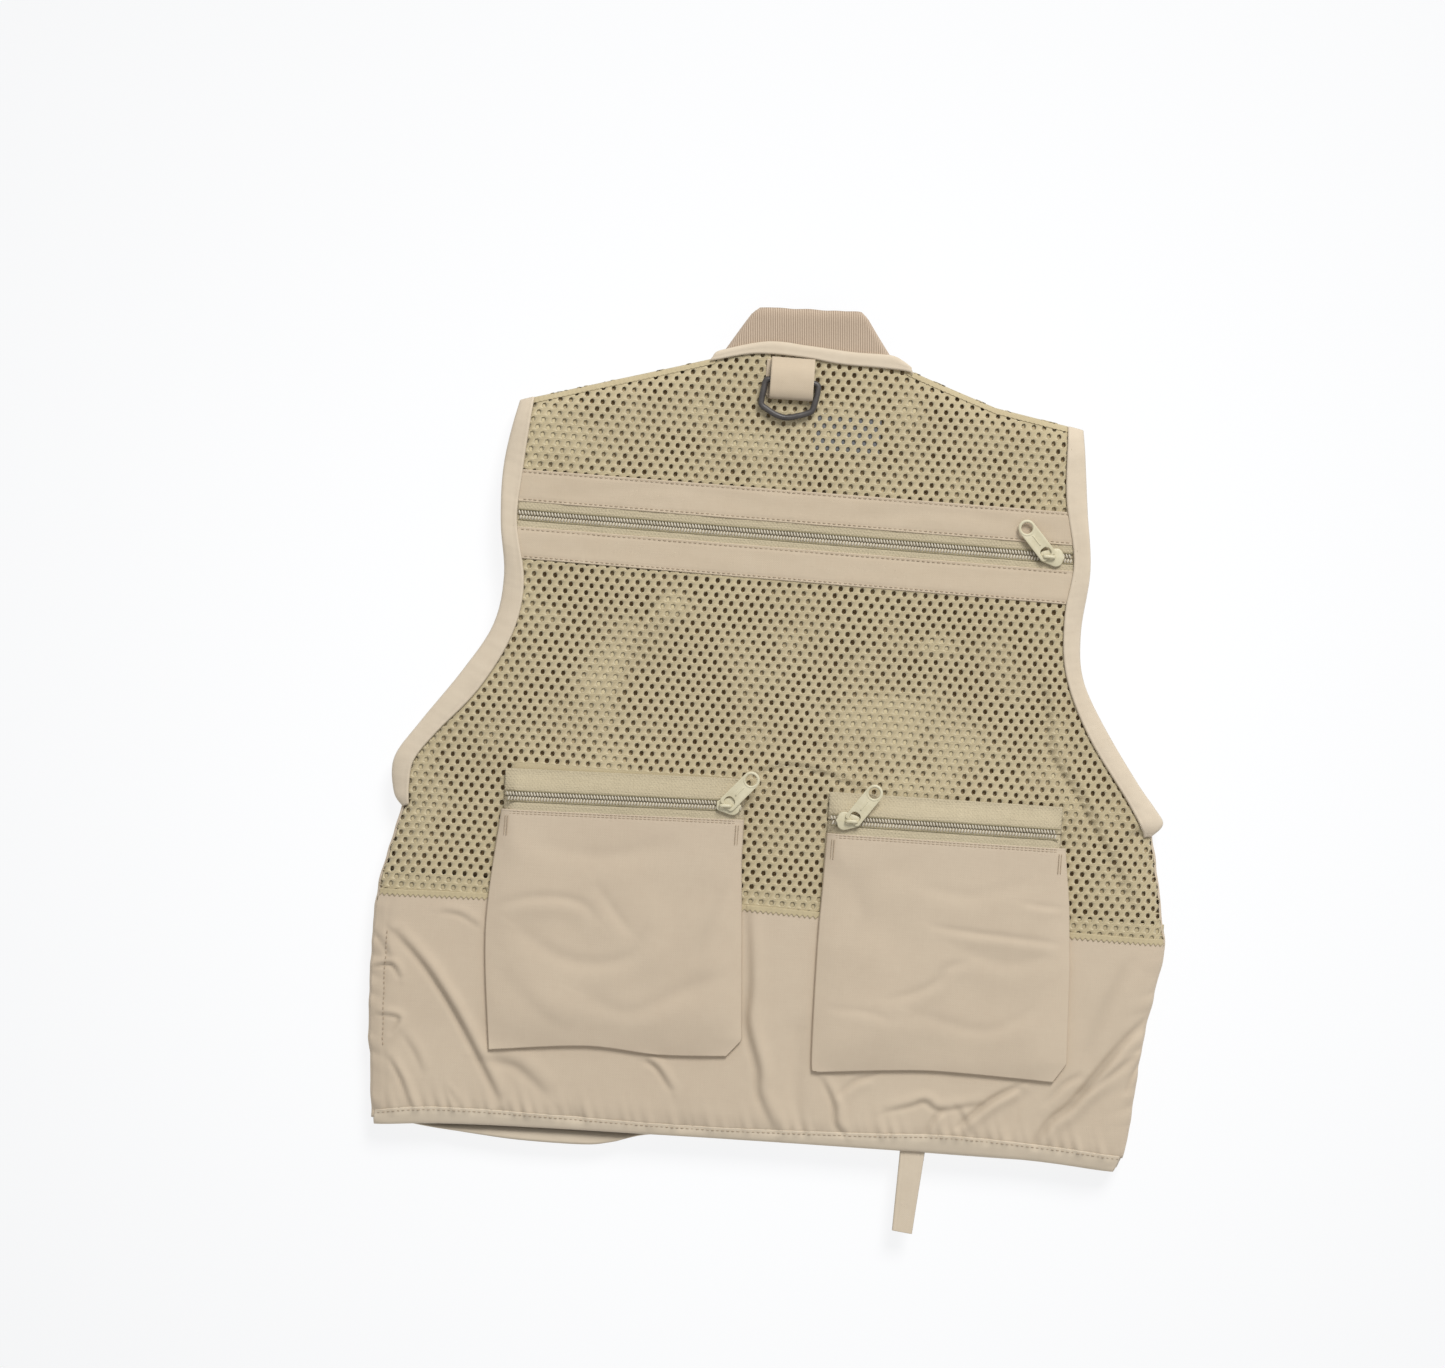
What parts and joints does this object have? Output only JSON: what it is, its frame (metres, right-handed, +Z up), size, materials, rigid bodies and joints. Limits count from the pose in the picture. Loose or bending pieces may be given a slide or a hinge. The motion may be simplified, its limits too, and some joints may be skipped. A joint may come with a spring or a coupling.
{
  "type": "fishing vest",
  "caption": "Youth fishing vest lying flat, back up, with a mesh back, zipped pockets, a ring at the neck and flapped pockets in front.",
  "frame": {"origin": "middle of the bounding box, on the surface that the vest lies on", "axes": "+X across the back towards the wearer's right, +Y from the hem towards the collar, +Z up, out of the vest's back"},
  "size_m": [0.4507, 0.523, 0.0314],
  "materials": {
    "tan_cloth": "light woven nylon with a fine plain weave, matt",
    "olive_mesh": "knitted polyester mesh with oval holes, matt",
    "binding": "folded woven tape, topstitched, matt",
    "rib_knit": "rib knit, matt",
    "zip_tape": "woven zip tape, matt",
    "coil": "moulded nylon coil, slightly shiny",
    "slider": "die-cast and painted, satin",
    "black_plastic": "moulded plastic, satin",
    "lining": "thin tricot, matt",
    "label": "plain woven label, blank"
  },
  "bodies": {
    "vest": {"back_hem": "binding", "back_lower_panel": "tan_cloth", "back_mesh": "olive_mesh", "back_yoke_mesh": "olive_mesh", "collar_rib": "rib_knit", "front_coil_left": "coil", "front_coil_right": "coil", "front_tape_left": "zip_tape", "front_tape_right": "zip_tape", "left_armhole_binding_back": "binding", "left_armhole_binding_front": "binding", "left_chest_pocket": "tan_cloth", "left_front_hem": "binding", "left_front_panel": "tan_cloth", "left_lower_pocket": "tan_cloth", "left_pocket_bag": "tan_cloth", "left_pocket_coil_lower": "coil", "left_pocket_coil_upper": "coil", "left_pocket_tape_lower": "zip_tape", "left_pocket_tape_upper": "zip_tape", "left_shoulder_seam": "binding", "left_side_seam": "binding", "neck_binding": "binding", "neck_label": "label", "right_armhole_binding_back": "binding", "right_armhole_binding_front": "binding", "right_chest_pocket": "tan_cloth", "right_front_hem": "binding", "right_front_panel": "tan_cloth", "right_lower_pocket": "tan_cloth", "right_pocket_bag": "tan_cloth", "right_pocket_coil_lower": "coil", "right_pocket_coil_upper": "coil", "right_pocket_tape_lower": "zip_tape", "right_pocket_tape_upper": "zip_tape", "right_shoulder_seam": "binding", "right_side_seam": "binding", "ring_tab": "binding", "storage_band_lower": "tan_cloth", "storage_band_upper": "tan_cloth", "storage_coil_lower": "coil", "storage_coil_upper": "coil", "storage_lining": "lining", "storage_tape_lower": "zip_tape", "storage_tape_upper": "zip_tape"},
    "storage_slider_body": {"storage_slider": "slider"},
    "left_pocket_slider_body": {"left_pocket_slider": "slider"},
    "right_pocket_slider_body": {"right_pocket_slider": "slider"},
    "front_slider_body": {"front_slider": "slider"},
    "storage_pull_body": {"storage_pull": "slider"},
    "left_pocket_pull_body": {"left_pocket_pull": "slider"},
    "right_pocket_pull_body": {"right_pocket_pull": "slider"},
    "front_pull_body": {"front_pull": "slider"},
    "neck_ring": {"d_ring": "black_plastic"},
    "hem_strap": {"lower_strap": "binding"},
    "left_lower_flap_body": {"left_lower_flap": "tan_cloth"},
    "left_chest_flap_body": {"left_chest_flap": "tan_cloth"},
    "right_lower_flap_body": {"right_lower_flap": "tan_cloth"},
    "right_chest_flap_body": {"right_chest_flap": "tan_cloth"}
  },
  "joints": [
    {"name": "storage_slide", "type": "slide", "parent": "vest", "child": "storage_slider_body", "axis": [-1, 0.0071, 0], "range_m": [0, 0.295]},
    {"name": "left_pocket_slide", "type": "slide", "parent": "vest", "child": "left_pocket_slider_body", "axis": [-0.9996, -0.0277, 0], "range_m": [0, 0.118]},
    {"name": "right_pocket_slide", "type": "slide", "parent": "vest", "child": "right_pocket_slider_body", "axis": [1, 0.0077, 0], "range_m": [0, 0.112]},
    {"name": "front_slide", "type": "slide", "parent": "vest", "child": "front_slider_body", "axis": [0, -1, 0], "range_m": [0, 0.42]},
    {"name": "storage_pull_hinge", "type": "hinge", "parent": "storage_slider_body", "child": "storage_pull_body", "pos_m": [0.14309, 0.12987, 0.0231], "axis": [0.7431, 0.6691, 0], "range_deg": [0, 165]},
    {"name": "left_pocket_pull_hinge", "type": "hinge", "parent": "left_pocket_slider_body", "child": "left_pocket_pull_body", "pos_m": [-0.03025, -0.02465, 0.0293], "axis": [0.7547, -0.6561, 0], "range_deg": [0, 165]},
    {"name": "right_pocket_pull_hinge", "type": "hinge", "parent": "right_pocket_slider_body", "child": "right_pocket_pull_body", "pos_m": [0.0417, -0.02831, 0.0293], "axis": [0.8192, -0.5736, 0], "range_deg": [0, 165]},
    {"name": "front_pull_hinge", "type": "hinge", "parent": "front_slider_body", "child": "front_pull_body", "pos_m": [0.0005, 0.2165, 0.0034], "axis": [1, 0, 0], "range_deg": [0, 165]},
    {"name": "neck_ring_hinge", "type": "hinge", "parent": "vest", "child": "neck_ring", "pos_m": [-0.0101, 0.219, 0.0232], "axis": [-0.9978, 0.0666, 0], "range_deg": [0, 160]},
    {"name": "hem_strap_hinge", "type": "hinge", "parent": "vest", "child": "hem_strap", "pos_m": [0.091, -0.2161, 0.0148], "axis": [-1, 0, 0], "range_deg": [0, 80]},
    {"name": "left_lower_flap_hinge", "type": "hinge", "parent": "vest", "child": "left_lower_flap_body", "pos_m": [-0.1065, -0.0265, 0.0008], "axis": [1, 0, 0], "range_deg": [0, 150]},
    {"name": "left_chest_flap_hinge", "type": "hinge", "parent": "vest", "child": "left_chest_flap_body", "pos_m": [-0.0795, 0.1485, 0.0008], "axis": [1, 0, 0], "range_deg": [0, 150]},
    {"name": "right_lower_flap_hinge", "type": "hinge", "parent": "vest", "child": "right_lower_flap_body", "pos_m": [0.1075, -0.0265, 0.0008], "axis": [1, 0, 0], "range_deg": [0, 150]},
    {"name": "right_chest_flap_hinge", "type": "hinge", "parent": "vest", "child": "right_chest_flap_body", "pos_m": [0.0805, 0.1485, 0.0008], "axis": [1, 0, 0], "range_deg": [0, 150]}
  ]
}
